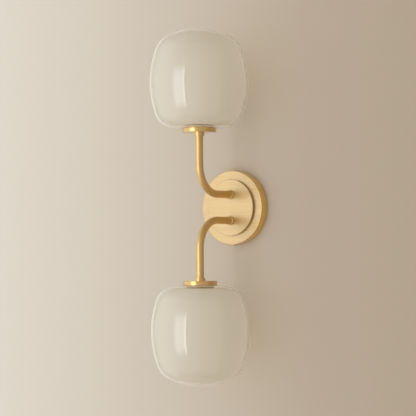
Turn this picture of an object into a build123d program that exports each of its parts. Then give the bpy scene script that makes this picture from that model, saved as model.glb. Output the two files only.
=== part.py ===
from build123d import *
from math import atan2, cos, degrees, hypot, radians, sin, sqrt
import os

# Double arm wall sconce: a round brass wall plate, two bent tubes that reach
# forward from it and turn up and down, and a rounded cased-glass shade screwed
# to a disc at the end of each tube.
#
# Frame: the wall is the plane Y = 0 and the sconce stands out of it towards -Y.
# The origin is the centre of the wall plate's back, Z is up.
# The lower arm is the mirror image of the upper one about Z = 0.

# ---------------------------------------------------------------- sizes (mm)

# Wall plate: a spun dish with a turned disc on its face
plate_diameter = 127.0
plate_depth = 16.4
plate_wall = 1.2
plate_edge_round = 1.4
face_disc_diameter = 96.6
face_disc_thickness = 4.8
face_disc_edge = 0.6

# Crossbar behind the plate, with slots for the junction box's screws
crossbar_width = 16.0
crossbar_thickness = 2.5
crossbar_bend_round = 1.0
crossbar_tab_depth = 13.0
crossbar_gap = 0.3
box_screw_spacing = 88.9
slot_width = 4.8
slot_length = 20.0

# Screws that hold the plate's rim to the crossbar, at the top and the bottom
side_screw_thread = 4.0
side_screw_length = 7.5
side_screw_head_diameter = 6.4
side_screw_head_height = 1.3
side_screw_setback = 8.2
side_screw_clearance = 0.3
driver_slot_width = 0.9
driver_slot_depth = 0.6

# Earthing
ground_screw_drop = 10.0
ground_screw_thread = 4.8
ground_screw_head = 8.0
ground_screw_head_height = 1.9
ground_ring_diameter = 9.4
ground_ring_thickness = 0.8
ground_tongue_width = 4.0
ground_tongue_end = 8.5
ground_wire_diameter = 2.0
ground_wire_bend = 4.0
ground_connector_reach = 20.0
ground_connector_drop = 18.0

# Twist-on wire connectors
connector_mouth_diameter = 11.0
connector_length = 18.0
connector_taper = 4.0
connector_bore = 7.0
connector_bore_depth = 10.0
connector_reach = 11.0

# Arm tubes
arm_spacing = 44.2
arm_reach = 104.5
tube_diameter = 13.0
bend_radius = 48.0
fitter_height = 123.3

# Ring that covers the tube's foot on the plate
ferrule_ring_diameter = 16.6
ferrule_ring_length = 3.4
ferrule_ring_round = 1.1
ferrule_sleeve_diameter = 14.2
ferrule_sleeve_length = 5.6
ferrule_sleeve_edge = 0.4

# Threaded tubes, nuts and washers that clamp the arm at both of its ends
nipple_diameter = 10.0
nipple_bore = 7.0
nipple_grip = 12.0
nipple_end = 1.9
nipple_hole_clearance = 0.2
thread_gap = 0.05
nut_width = 14.0
nut_thickness = 3.0
washer_diameter = 16.0
washer_thickness = 0.8

# Collar under the disc that carries the shade
collar_top_diameter = 18.0
collar_foot_diameter = 16.8
collar_height = 5.4

# Disc that carries the shade
fitter_diameter = 57.0
fitter_thickness = 7.6
fitter_edge = 0.5
recess_clearance = 0.5

# Threaded cup on the disc, and the ring in the shade's mouth that screws on it
gallery_diameter = 40.0
gallery_wall = 2.0
gallery_floor = 1.5
gallery_height = 9.0
screw_ring_clearance = 0.1
screw_ring_wall = 2.8
screw_ring_height = 9.0
screw_ring_flange_width = 4.9
screw_ring_flange = 1.0
gasket_thickness = 0.6
gasket_clearance = 0.4
bond_gap = 0.1
shade_gap = 0.2

# Glass shade: an outline of four arcs, each tangent to the next
shade_radius = 82.0
shade_height = 167.0
shade_widest_height = 76.0
shade_wall = 5.0
shade_base_corner = 34.5
shade_side_arc = 162.0
shade_shoulder_arc = 39.5
shade_cap_arc = 117.0

# Lampholder for a small screw-base candle lamp
holder_diameter = 22.5
holder_length = 31.5
holder_socket_depth = 4.6
holder_floor = 6.6
holder_lead_hole = 7.0
holder_edge = 0.8
shell_wall = 0.5
shell_length = 15.5
shell_tab_width = 3.0
shell_tab_height = 3.3
shell_tab_gap = 0.6
contact_width = 4.0
contact_thickness = 0.6
contact_foot = 2.6
contact_rise = 7.3
contact_overhang = 1.2
contact_gap = 0.7

# Candle lamp
lamp_thread_gap = 0.08
lamp_cap_diameter = 11.9
lamp_cap_length = 18.0
lamp_tip_diameter = 3.0
lamp_tip_height = 1.0
lamp_cone_diameter = 8.6
lamp_cone_height = 2.0
lamp_shoulder_height = 1.0
lamp_diameter = 35.0
lamp_glass_length = 80.0
lamp_widest_height = 32.0
lamp_neck_diameter = 11.9
lamp_tip_round = 4.0
lamp_wall = 1.0

# Leads from the lampholder through the tube into the plate
lead_diameter = 2.3
lead_offset = 1.4
lead_bend = 5.0
lead_depth = 6.8

# ------------------------------------------------------------ derived places

arm_height = arm_spacing / 2
plate_front = plate_depth + face_disc_thickness
plate_inner_face = plate_depth - plate_wall
plate_inner_radius = plate_diameter / 2 - plate_wall
nipple_radius = nipple_diameter / 2
tapped_radius = nipple_radius + thread_gap
clearance_radius = nipple_radius + nipple_hole_clearance
plate_nut_face = plate_inner_face - washer_thickness - nut_thickness
plate_nipple_end = plate_nut_face - nipple_end

crossbar_end = sqrt(plate_inner_radius ** 2 - (crossbar_width / 2) ** 2) - crossbar_gap

recess_depth = gasket_thickness + screw_ring_flange - shade_gap
recess_floor = fitter_height + fitter_thickness - recess_depth
gallery_radius = gallery_diameter / 2
screw_ring_bore = gallery_radius + screw_ring_clearance
screw_ring_radius = screw_ring_bore + screw_ring_wall
flange_radius = screw_ring_bore + screw_ring_flange_width
flange_base = recess_floor + gasket_thickness
shade_base = flange_base + screw_ring_flange
mouth_radius = screw_ring_radius + bond_gap

gallery_nut_face = recess_floor + gallery_floor
holder_base = gallery_nut_face + nut_thickness
holder_floor_face = holder_base + holder_floor
shell_bore = lamp_cap_diameter / 2 + lamp_thread_gap
shell_radius = shell_bore + shell_wall
socket_radius = shell_radius + thread_gap
lamp_foot = holder_floor_face + contact_rise
lamp_glass_foot = lamp_foot + lamp_cap_length
contact_underside = lamp_foot - contact_thickness
shell_foot = lamp_foot + lamp_tip_height
shell_tab_face = holder_floor_face + shell_tab_height

arm_axis = Axis((0, -arm_reach, 0), (0, 0, 1))
arm_plane = Plane.XZ.offset(arm_reach)
arm_centre = (0, -arm_reach)
arm_foot_points = ((0, arm_height), (0, -arm_height))

# ------------------------------------------------------- shade outline arcs
# Each arc's centre follows from its radius and the arcs that it is tangent to.

side_x = shade_radius - shade_side_arc
side_z = shade_base + shade_widest_height
corner_z = shade_base + shade_base_corner
corner_x = side_x + sqrt((shade_side_arc - shade_base_corner) ** 2 - (corner_z - side_z) ** 2)
cap_z = shade_base + shade_height - shade_cap_arc

# The shoulder's centre lies where two circles meet, one about the side's centre
# and one about the cap's.
side_to_shoulder = shade_side_arc - shade_shoulder_arc
cap_to_shoulder = shade_cap_arc - shade_shoulder_arc
side_to_cap = hypot(side_x, cap_z - side_z)
along = (side_to_shoulder ** 2 - cap_to_shoulder ** 2 + side_to_cap ** 2) / (2 * side_to_cap)
across = sqrt(side_to_shoulder ** 2 - along ** 2)
unit_x = -side_x / side_to_cap
unit_z = (cap_z - side_z) / side_to_cap
shoulder_x = side_x + along * unit_x - across * unit_z
shoulder_z = side_z + along * unit_z + across * unit_x

corner_angle = degrees(atan2(corner_z - side_z, corner_x - side_x))
shoulder_angle = degrees(atan2(shoulder_z - side_z, shoulder_x - side_x))
cap_angle = degrees(atan2(shoulder_z - cap_z, shoulder_x))


def base_arc(inset):
    """The rounded corner round the shade's base, drawn inside its outer face by inset."""
    CenterArc((corner_x, corner_z), shade_base_corner - inset, -90, corner_angle + 90)


def side_arc(inset):
    """The shade's side, drawn inside its outer face by inset."""
    CenterArc((side_x, side_z), shade_side_arc - inset, corner_angle, shoulder_angle - corner_angle)


def crown_arcs(inset):
    """The shade's shoulder and cap, drawn inside its outer face by inset."""
    CenterArc((shoulder_x, shoulder_z), shade_shoulder_arc - inset, shoulder_angle, cap_angle - shoulder_angle)
    CenterArc((0, cap_z), shade_cap_arc - inset, cap_angle, 90 - cap_angle)


def wall_line(angle):
    """Line through the shade's wall, square to its side, at an angle of the side's arc."""
    Line(
        *[
            (side_x + reach * cos(radians(angle)), side_z + reach * sin(radians(angle)))
            for reach in (shade_side_arc, shade_side_arc - shade_wall)
        ]
    )


# ------------------------------------------------------- candle lamp outline
# Two arcs meet at the lamp's widest place, and a small one rounds its tip.

lamp_radius = lamp_diameter / 2
lamp_widest = lamp_glass_foot + lamp_widest_height
lamp_swell = lamp_radius - lamp_neck_diameter / 2
lamp_lower_arc = (lamp_swell ** 2 + lamp_widest_height ** 2) / (2 * lamp_swell)
lamp_lower_x = lamp_radius - lamp_lower_arc
lamp_tip_rise = lamp_glass_length - lamp_widest_height - lamp_tip_round
lamp_tip_inset = lamp_radius - lamp_tip_round
lamp_upper_arc = (lamp_tip_rise ** 2 / lamp_tip_inset + lamp_radius + lamp_tip_round) / 2
lamp_upper_x = lamp_radius - lamp_upper_arc
lamp_tip_angle = degrees(atan2(lamp_tip_rise, -lamp_upper_x))


def lamp_neck(inset):
    """Radius of the lamp's glass at its foot."""
    return lamp_lower_x + sqrt((lamp_lower_arc - inset) ** 2 - lamp_widest_height ** 2)


def lamp_arcs(inset):
    """The lamp's three arcs, drawn inside its outer face by inset."""
    neck_angle = degrees(atan2(lamp_widest_height, lamp_neck(inset) - lamp_lower_x))
    CenterArc((lamp_lower_x, lamp_widest), lamp_lower_arc - inset, -neck_angle, neck_angle)
    CenterArc((lamp_upper_x, lamp_widest), lamp_upper_arc - inset, 0, lamp_tip_angle)
    tip_centre = (0, lamp_widest + lamp_tip_rise)
    CenterArc(tip_centre, lamp_tip_round - inset, lamp_tip_angle, 90 - lamp_tip_angle)


# ---------------------------------------------------------------- wall plate

# Spun dish, open towards the wall
with BuildPart() as backplate_dish:
    with BuildSketch(Plane.XZ):
        Circle(plate_diameter / 2)
    extrude(amount=plate_depth)
    fillet(backplate_dish.edges().group_by(Axis.Y)[0], plate_edge_round)
    with BuildSketch(Plane.XZ):
        Circle(plate_inner_radius)
    extrude(amount=plate_inner_face, mode=Mode.SUBTRACT)
    with BuildSketch(Plane.XZ.offset(plate_inner_face)):
        with Locations(*arm_foot_points):
            Circle(clearance_radius)
    extrude(amount=plate_wall, mode=Mode.SUBTRACT)
    with BuildSketch(Plane.XY):
        with Locations((0, -side_screw_setback)):
            Circle(side_screw_thread / 2 + side_screw_clearance)
    extrude(amount=plate_diameter / 2, both=True, mode=Mode.SUBTRACT)

# Turned disc on the dish's face
with BuildPart() as backplate_face_disc:
    with BuildSketch(Plane.XZ.offset(plate_depth)):
        Circle(face_disc_diameter / 2)
        with Locations(*arm_foot_points):
            Circle(clearance_radius, mode=Mode.SUBTRACT)
    extrude(amount=face_disc_thickness)
    front_edges = backplate_face_disc.edges().group_by(Axis.Y)[0]
    chamfer(front_edges.sort_by(SortBy.RADIUS)[-1], face_disc_edge)

# Steel strip with its two ends bent forward, inside the dish
with BuildPart() as mounting_crossbar:
    with BuildSketch(Plane.YZ):
        with Locations((-crossbar_thickness / 2, 0)):
            Rectangle(crossbar_thickness, 2 * crossbar_end)
        tab_centre = crossbar_end - crossbar_thickness / 2
        with Locations((-crossbar_tab_depth / 2, tab_centre), (-crossbar_tab_depth / 2, -tab_centre)):
            Rectangle(crossbar_tab_depth, crossbar_thickness)
    extrude(amount=crossbar_width / 2, both=True)
    along_width = mounting_crossbar.edges().filter_by(Axis.X)
    outer_bends = along_width.group_by(Axis.Y)[-1]
    fillet(outer_bends, crossbar_bend_round + crossbar_thickness)
    along_width = mounting_crossbar.edges().filter_by(Axis.X)
    inner_bends = along_width.filter_by_position(
        Axis.Y, -crossbar_thickness - thread_gap, -crossbar_thickness + thread_gap
    )
    fillet(inner_bends, crossbar_bend_round)
    with BuildSketch(Plane.XZ):
        with Locations((0, box_screw_spacing / 2), (0, -box_screw_spacing / 2)):
            SlotOverall(slot_length, slot_width, rotation=90)
        with Locations((0, -ground_screw_drop)):
            Circle(ground_screw_thread / 2 + thread_gap)
    extrude(amount=crossbar_thickness, mode=Mode.SUBTRACT)
    with BuildSketch(Plane.XY):
        with Locations((0, -side_screw_setback)):
            Circle(side_screw_thread / 2 + thread_gap)
    extrude(amount=crossbar_end, both=True, mode=Mode.SUBTRACT)

# Screws through the dish's rim into the crossbar's ends, top and bottom
with BuildPart() as canopy_side_screws:
    with BuildSketch(Plane.XY.offset(plate_diameter / 2)):
        with Locations((0, -side_screw_setback)):
            Circle(side_screw_head_diameter / 2)
    extrude(amount=side_screw_head_height)
    head_top = canopy_side_screws.edges().group_by(Axis.Z)[-1]
    fillet(head_top, side_screw_head_height / 2)
    with BuildSketch(Plane.XY.offset(plate_diameter / 2 + side_screw_head_height)):
        with Locations((0, -side_screw_setback)):
            Rectangle(driver_slot_width, side_screw_head_diameter)
    extrude(amount=-driver_slot_depth, mode=Mode.SUBTRACT)
    with BuildSketch(Plane.XY.offset(plate_diameter / 2)):
        with Locations((0, -side_screw_setback)):
            Circle(side_screw_thread / 2)
    extrude(amount=-side_screw_length)
    mirror(about=Plane.XY)

# ------------------------------------------------------------------ earthing

# Low-head screw in the crossbar that clamps the ground wire's ring
ground_ring_face = crossbar_thickness + ground_ring_thickness
ground_screw_point = (0, -ground_screw_drop)
with BuildPart() as ground_screw:
    with BuildSketch(Plane.XZ):
        with Locations(ground_screw_point):
            Circle(ground_screw_thread / 2)
    extrude(amount=ground_ring_face)
    with BuildSketch(Plane.XZ.offset(ground_ring_face)):
        with Locations(ground_screw_point):
            RegularPolygon(ground_screw_head / 2, side_count=6, major_radius=False)
    extrude(amount=ground_screw_head_height)
    with BuildSketch(Plane.XZ.offset(ground_ring_face + ground_screw_head_height)):
        with Locations(ground_screw_point):
            Rectangle(ground_screw_head, driver_slot_width)
    extrude(amount=-driver_slot_depth, mode=Mode.SUBTRACT)

# Ground wire: a ring under the screw's head, a tongue, and the wire up to its connector
ground_wire_setback = crossbar_thickness + ground_wire_diameter / 2
ground_wire_start = ground_tongue_end - ground_wire_diameter
ground_wire_turn = ground_connector_reach - 2 * ground_wire_bend
ground_wire_stop = ground_connector_reach + connector_bore_depth
with BuildPart() as ground_wire:
    with BuildSketch(Plane.XZ.offset(crossbar_thickness)):
        with Locations(ground_screw_point):
            Circle(ground_ring_diameter / 2)
        with Locations((ground_tongue_end / 2, -ground_screw_drop)):
            Rectangle(ground_tongue_end, ground_tongue_width)
        with Locations(ground_screw_point):
            Circle(ground_screw_thread / 2 + thread_gap, mode=Mode.SUBTRACT)
    extrude(amount=ground_ring_thickness)
    with BuildLine() as ground_route:
        FilletPolyline(
            (ground_wire_start, -ground_wire_setback, -ground_screw_drop),
            (ground_wire_turn, -ground_wire_setback, -ground_screw_drop),
            (ground_connector_reach - ground_wire_bend, -lead_depth, -ground_connector_drop),
            (ground_wire_stop, -lead_depth, -ground_connector_drop),
            radius=ground_wire_bend,
        )
    with BuildSketch(Plane.YZ.offset(ground_wire_start)):
        with Locations((-ground_wire_setback, -ground_screw_drop)):
            Circle(ground_wire_diameter / 2)
    sweep()

# Connectors: live on the right, neutral on the left, ground below the live one
with BuildPart() as wire_connectors:
    with BuildSketch(Plane.YZ.offset(connector_reach)):
        with Locations((-lead_depth, 0)):
            Circle(connector_mouth_diameter / 2)
    extrude(amount=connector_length, taper=connector_taper)
    with BuildSketch(Plane.YZ.offset(connector_reach)):
        with Locations((-lead_depth, 0)):
            Circle(connector_bore / 2)
    extrude(amount=connector_bore_depth, mode=Mode.SUBTRACT)
    mirror(about=Plane.YZ)
    with BuildSketch(Plane.YZ.offset(ground_connector_reach)):
        with Locations((-lead_depth, -ground_connector_drop)):
            Circle(connector_mouth_diameter / 2)
    extrude(amount=connector_length, taper=connector_taper)
    with BuildSketch(Plane.YZ.offset(ground_connector_reach)):
        with Locations((-lead_depth, -ground_connector_drop)):
            Circle(connector_bore / 2)
    extrude(amount=connector_bore_depth, mode=Mode.SUBTRACT)

# ----------------------------------------------------------- arm, plate end

# Bent tube, from the plate's face forward and then up
with BuildPart() as arm_tube:
    with BuildLine() as arm_route:
        FilletPolyline(
            (0, -plate_front, arm_height),
            (0, -arm_reach, arm_height),
            (0, -arm_reach, fitter_height),
            radius=bend_radius,
        )
    with BuildSketch(Plane.XZ.offset(plate_front)):
        with Locations((0, arm_height)):
            Circle(tube_diameter / 2)
            Circle(tapped_radius, mode=Mode.SUBTRACT)
    sweep()

# Two-step ring round the tube's foot
with BuildPart() as arm_ferrule:
    with BuildSketch(Plane.XZ.offset(plate_front)):
        with Locations((0, arm_height)):
            Circle(ferrule_ring_diameter / 2)
    extrude(amount=ferrule_ring_length)
    fillet(arm_ferrule.edges().group_by(Axis.Y)[0], ferrule_ring_round)
    with BuildSketch(Plane.XZ.offset(plate_front)):
        with Locations((0, arm_height)):
            Circle(ferrule_sleeve_diameter / 2)
    extrude(amount=ferrule_ring_length + ferrule_sleeve_length)
    chamfer(arm_ferrule.edges().group_by(Axis.Y)[0], ferrule_sleeve_edge)
    with BuildSketch(Plane.XZ.offset(plate_front)):
        with Locations((0, arm_height)):
            Circle(tube_diameter / 2)
    extrude(amount=ferrule_ring_length + ferrule_sleeve_length, mode=Mode.SUBTRACT)

# Threaded tube through the plate into the arm
with BuildPart() as arm_nipple:
    with BuildSketch(Plane.XZ.offset(plate_nipple_end)):
        with Locations((0, arm_height)):
            Circle(nipple_radius)
            Circle(nipple_bore / 2, mode=Mode.SUBTRACT)
    extrude(amount=plate_front + nipple_grip - plate_nipple_end)

# Washer and nut inside the dish
with BuildPart() as arm_washer:
    with BuildSketch(Plane.XZ.offset(plate_inner_face - washer_thickness)):
        with Locations((0, arm_height)):
            Circle(washer_diameter / 2)
            Circle(tapped_radius, mode=Mode.SUBTRACT)
    extrude(amount=washer_thickness)

with BuildPart() as arm_nut:
    with BuildSketch(Plane.XZ.offset(plate_nut_face)):
        with Locations((0, arm_height)):
            RegularPolygon(nut_width / 2, side_count=6, major_radius=False)
            Circle(tapped_radius, mode=Mode.SUBTRACT)
    extrude(amount=nut_thickness)

# ----------------------------------------------------------- arm, shade end

# Tapered collar round the tube's end, under the disc
with BuildPart() as arm_collar:
    with BuildSketch(arm_plane):
        with BuildLine():
            Polyline(
                (tube_diameter / 2, fitter_height - collar_height),
                (collar_foot_diameter / 2, fitter_height - collar_height),
                (collar_top_diameter / 2, fitter_height),
                (tube_diameter / 2, fitter_height),
                close=True,
            )
        make_face()
    revolve(axis=arm_axis)

# Disc with a shallow recess in which the gasket and the shade's ring sit
with BuildPart() as fitter_disc:
    with BuildSketch(Plane.XY.offset(fitter_height)):
        with Locations(arm_centre):
            Circle(fitter_diameter / 2)
    extrude(amount=fitter_thickness)
    chamfer(fitter_disc.edges().filter_by(GeomType.CIRCLE), fitter_edge)
    with BuildSketch(Plane.XY.offset(recess_floor)):
        with Locations(arm_centre):
            Circle(flange_radius + recess_clearance)
    extrude(amount=recess_depth, mode=Mode.SUBTRACT)
    with BuildSketch(Plane.XY.offset(fitter_height)):
        with Locations(arm_centre):
            Circle(clearance_radius)
    extrude(amount=fitter_thickness, mode=Mode.SUBTRACT)

# Threaded tube that joins the arm, the disc and the lampholder
with BuildPart() as holder_nipple:
    with BuildSketch(Plane.XY.offset(fitter_height - nipple_grip)):
        with Locations(arm_centre):
            Circle(nipple_radius)
            Circle(nipple_bore / 2, mode=Mode.SUBTRACT)
    extrude(amount=holder_base + holder_socket_depth - fitter_height + nipple_grip)

# Cup with a threaded wall that the shade screws on
with BuildPart() as shade_gallery:
    with BuildSketch(Plane.XY.offset(recess_floor)):
        with Locations(arm_centre):
            Circle(gallery_radius)
    extrude(amount=gallery_height)
    with BuildSketch(Plane.XY.offset(gallery_nut_face)):
        with Locations(arm_centre):
            Circle(gallery_radius - gallery_wall)
    extrude(amount=gallery_height - gallery_floor, mode=Mode.SUBTRACT)
    with BuildSketch(Plane.XY.offset(recess_floor)):
        with Locations(arm_centre):
            Circle(clearance_radius)
    extrude(amount=gallery_floor, mode=Mode.SUBTRACT)

# Nut that clamps the cup and the disc against the arm
with BuildPart() as fitter_nut:
    with BuildSketch(Plane.XY.offset(gallery_nut_face)):
        with Locations(arm_centre):
            RegularPolygon(nut_width / 2, side_count=6, major_radius=False)
            Circle(tapped_radius, mode=Mode.SUBTRACT)
    extrude(amount=nut_thickness)

# --------------------------------------------------------------------- shade

# Flat ring on which the shade seats
with BuildPart() as shade_gasket:
    with BuildSketch(Plane.XY.offset(recess_floor)):
        with Locations(arm_centre):
            Circle(flange_radius)
            Circle(gallery_radius + gasket_clearance, mode=Mode.SUBTRACT)
    extrude(amount=gasket_thickness)

# Flanged ring cemented into the shade's mouth
with BuildPart() as shade_screw_ring:
    with BuildSketch(Plane.XY.offset(flange_base)):
        with Locations(arm_centre):
            Circle(flange_radius)
    extrude(amount=screw_ring_flange)
    with BuildSketch(Plane.XY.offset(flange_base)):
        with Locations(arm_centre):
            Circle(screw_ring_radius)
    extrude(amount=screw_ring_height)
    with BuildSketch(Plane.XY.offset(flange_base)):
        with Locations(arm_centre):
            Circle(screw_ring_bore)
    extrude(amount=screw_ring_height, mode=Mode.SUBTRACT)

# Blown glass shell, as three solids that meet face to face: the flat base with the
# mouth in it and its rounded corner, the side, and the crown with shoulder and cap
shade_inner_base = shade_base + shade_wall
shade_top = shade_base + shade_height

with BuildPart() as shade_glass_base:
    with BuildSketch(arm_plane):
        with BuildLine():
            Line((mouth_radius, shade_base), (corner_x, shade_base))
            base_arc(0)
            wall_line(corner_angle)
            base_arc(shade_wall)
            Line((corner_x, shade_inner_base), (mouth_radius, shade_inner_base))
            Line((mouth_radius, shade_inner_base), (mouth_radius, shade_base))
        make_face()
    revolve(axis=arm_axis)

with BuildPart() as shade_glass_side:
    with BuildSketch(arm_plane):
        with BuildLine():
            wall_line(corner_angle)
            side_arc(0)
            wall_line(shoulder_angle)
            side_arc(shade_wall)
        make_face()
    revolve(axis=arm_axis)

with BuildPart() as shade_glass_crown:
    with BuildSketch(arm_plane):
        with BuildLine():
            wall_line(shoulder_angle)
            crown_arcs(0)
            Line((0, shade_top), (0, shade_top - shade_wall))
            crown_arcs(shade_wall)
        make_face()
    revolve(axis=arm_axis)

# ---------------------------------------------------------------- lampholder

# Moulded body on the threaded tube
with BuildPart() as lampholder_body:
    with BuildSketch(Plane.XY.offset(holder_base)):
        with Locations(arm_centre):
            Circle(holder_diameter / 2)
    extrude(amount=holder_length)
    chamfer(lampholder_body.edges().group_by(Axis.Z)[-1], holder_edge)
    with BuildSketch(Plane.XY.offset(holder_base)):
        with Locations(arm_centre):
            Circle(tapped_radius)
    extrude(amount=holder_socket_depth, mode=Mode.SUBTRACT)
    with BuildSketch(Plane.XY.offset(holder_base)):
        with Locations(arm_centre):
            Circle(holder_lead_hole / 2)
    extrude(amount=holder_floor, mode=Mode.SUBTRACT)
    with BuildSketch(Plane.XY.offset(holder_floor_face)):
        with Locations(arm_centre):
            Circle(socket_radius)
    extrude(amount=holder_length - holder_floor, mode=Mode.SUBTRACT)

# Screw shell, with a tab bent under it that the neutral lead meets
with BuildPart() as lampholder_shell:
    with BuildSketch(Plane.XY.offset(shell_tab_face)):
        with Locations(arm_centre):
            Circle(shell_radius)
            Circle(shell_bore, mode=Mode.SUBTRACT)
        with Locations((shell_radius, -arm_reach)):
            tab_side = 2 * shell_radius + shell_tab_width
            Rectangle(2 * shell_radius + shell_bore, tab_side, mode=Mode.SUBTRACT)
    extrude(amount=shell_foot - shell_tab_face)
    with BuildSketch(Plane.XY.offset(shell_tab_face)):
        with Locations(arm_centre):
            Circle(shell_radius)
        with Locations((shell_radius - shell_tab_gap, -arm_reach)):
            Rectangle(2 * shell_radius, 2 * shell_radius, mode=Mode.SUBTRACT)
        with Locations(arm_centre):
            Rectangle(2 * shell_radius, shell_tab_width, mode=Mode.INTERSECT)
    extrude(amount=shell_wall)
    with BuildSketch(Plane.XY.offset(shell_foot)):
        with Locations(arm_centre):
            Circle(shell_radius)
            Circle(shell_bore, mode=Mode.SUBTRACT)
    extrude(amount=shell_length)

# Springy centre contact: a foot on the holder's floor, a riser and a tongue
contact_outer = sqrt(socket_radius ** 2 - (contact_width / 2) ** 2) - contact_gap
contact_inner = contact_outer - contact_foot
with BuildPart() as lampholder_contact:
    with BuildSketch(arm_plane):
        with BuildLine():
            Polyline(
                (contact_inner, holder_floor_face),
                (contact_outer, holder_floor_face),
                (contact_outer, lamp_foot),
                (-contact_overhang, lamp_foot),
                (-contact_overhang, contact_underside),
                (contact_outer - contact_thickness, contact_underside),
                (contact_outer - contact_thickness, holder_floor_face + contact_thickness),
                (contact_inner, holder_floor_face + contact_thickness),
                close=True,
            )
        make_face()
    extrude(amount=contact_width / 2, both=True)

# --------------------------------------------------------------- candle lamp

# Screw cap with its insulated cone and centre tip
with BuildPart() as lamp_cap:
    with BuildSketch(arm_plane):
        with BuildLine():
            Polyline(
                (0, lamp_foot),
                (lamp_tip_diameter / 2, lamp_foot),
                (lamp_tip_diameter / 2, lamp_foot + lamp_tip_height),
                (lamp_cone_diameter / 2, lamp_foot + lamp_tip_height + lamp_cone_height),
                (
                    lamp_cap_diameter / 2,
                    lamp_foot + lamp_tip_height + lamp_cone_height + lamp_shoulder_height,
                ),
                (lamp_cap_diameter / 2, lamp_glass_foot),
                (0, lamp_glass_foot),
                close=True,
            )
        make_face()
    revolve(axis=arm_axis)

# Candle-shaped glass, open at the neck where the cap closes it
lamp_top = lamp_glass_foot + lamp_glass_length
with BuildPart() as lamp_glass:
    with BuildSketch(arm_plane):
        with BuildLine():
            Line((lamp_neck(lamp_wall), lamp_glass_foot), (lamp_neck(0), lamp_glass_foot))
            lamp_arcs(0)
            Line((0, lamp_top), (0, lamp_top - lamp_wall))
            lamp_arcs(lamp_wall)
        make_face()
    revolve(axis=arm_axis)

# --------------------------------------------------------------------- leads
# Both leads follow the tube side by side and turn twice inside the dish: down
# towards the plate's centre, then sideways into their connector.


def lead(side, top):
    """One lead, on the given side of the tube's middle, from its top end down."""
    offset_x = side * lead_offset
    connector_floor = side * (connector_reach + connector_bore_depth)
    with BuildPart() as piece:
        with BuildLine():
            FilletPolyline(
                (offset_x, -arm_reach, top),
                (offset_x, -arm_reach, arm_height),
                (offset_x, -lead_depth, arm_height),
                (offset_x, -lead_depth, lead_offset),
                (connector_floor, -lead_depth, lead_offset),
                radius=[bend_radius, lead_bend, lead_bend],
            )
        with BuildSketch(Plane.XY.offset(top)):
            with Locations((offset_x, -arm_reach)):
                Circle(lead_diameter / 2)
        sweep()
    return piece


live_lead = lead(1, contact_underside)
neutral_lead = lead(-1, shell_tab_face)

# -------------------------------------------------------------------- export

plate_pieces = {
    "backplate_dish": backplate_dish,
    "backplate_face_disc": backplate_face_disc,
    "mounting_crossbar": mounting_crossbar,
    "canopy_side_screws": canopy_side_screws,
    "ground_screw": ground_screw,
    "ground_wire": ground_wire,
    "wire_connectors": wire_connectors,
}
arm_pieces = {
    "arm_tube": arm_tube,
    "arm_ferrule": arm_ferrule,
    "arm_nipple": arm_nipple,
    "arm_washer": arm_washer,
    "arm_nut": arm_nut,
    "arm_collar": arm_collar,
    "fitter_disc": fitter_disc,
    "fitter_nut": fitter_nut,
    "holder_nipple": holder_nipple,
    "shade_gallery": shade_gallery,
    "shade_gasket": shade_gasket,
    "shade_screw_ring": shade_screw_ring,
    "shade_glass_base": shade_glass_base,
    "shade_glass_side": shade_glass_side,
    "shade_glass_crown": shade_glass_crown,
    "lampholder_body": lampholder_body,
    "lampholder_shell": lampholder_shell,
    "lampholder_contact": lampholder_contact,
    "lamp_cap": lamp_cap,
    "lamp_glass": lamp_glass,
    "live_lead": live_lead,
    "neutral_lead": neutral_lead,
}

os.makedirs("parts", exist_ok=True)

for name, piece in plate_pieces.items():
    piece.part.label = name
    export_step(piece.part, f"parts/{name}.step")

for name, piece in arm_pieces.items():
    piece.part.label = f"upper_{name}"
    export_step(piece.part, f"parts/upper_{name}.step")
    with BuildPart() as lower_piece:
        mirror(piece.part, about=Plane.XY)
    lower_piece.part.label = f"lower_{name}"
    export_step(lower_piece.part, f"parts/lower_{name}.step")
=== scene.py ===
import math

import bmesh
import bpy
from mathutils import Euler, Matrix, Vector


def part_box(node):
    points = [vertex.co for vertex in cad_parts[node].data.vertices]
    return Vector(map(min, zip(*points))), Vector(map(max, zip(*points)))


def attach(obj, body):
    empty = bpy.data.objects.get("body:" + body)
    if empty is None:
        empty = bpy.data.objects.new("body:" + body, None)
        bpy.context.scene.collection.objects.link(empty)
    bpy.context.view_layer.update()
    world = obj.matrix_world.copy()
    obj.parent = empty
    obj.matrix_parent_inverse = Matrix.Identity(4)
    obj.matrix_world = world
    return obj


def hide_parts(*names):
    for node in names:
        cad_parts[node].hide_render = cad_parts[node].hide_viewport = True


# Double arm wall sconce: satin brass plate and arms, cased cream glass shades.
# All lengths are in metres, in the frame of the model: the wall is Y = 0, the
# sconce stands out of it towards -Y, and Z is up.

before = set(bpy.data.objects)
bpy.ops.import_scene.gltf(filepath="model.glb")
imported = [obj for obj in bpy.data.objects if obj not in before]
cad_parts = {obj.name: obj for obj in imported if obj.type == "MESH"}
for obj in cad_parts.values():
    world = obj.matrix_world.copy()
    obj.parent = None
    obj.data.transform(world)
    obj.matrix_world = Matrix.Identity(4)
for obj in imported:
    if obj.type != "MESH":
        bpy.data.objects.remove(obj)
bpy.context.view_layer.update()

MM = 0.001
SIDES = (("upper", 1), ("lower", -1))

# ------------------------------------------------------------ sizes and places

side_low, side_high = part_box("upper_shade_glass_side")
fitter_low, fitter_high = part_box("upper_fitter_disc")

ARM_REACH = -(fitter_low.y + fitter_high.y) / 2
SHADE_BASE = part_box("upper_shade_glass_base")[0].z
SHADE_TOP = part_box("upper_shade_glass_crown")[1].z
SHADE_RADIUS = (side_high.y - side_low.y) / 2
SHADE_MOUTH = 23.0 * MM
SHADE_WALL = 5.0 * MM
CASING = 4.4 * MM
LINING_GAP = 0.03 * MM

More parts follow.
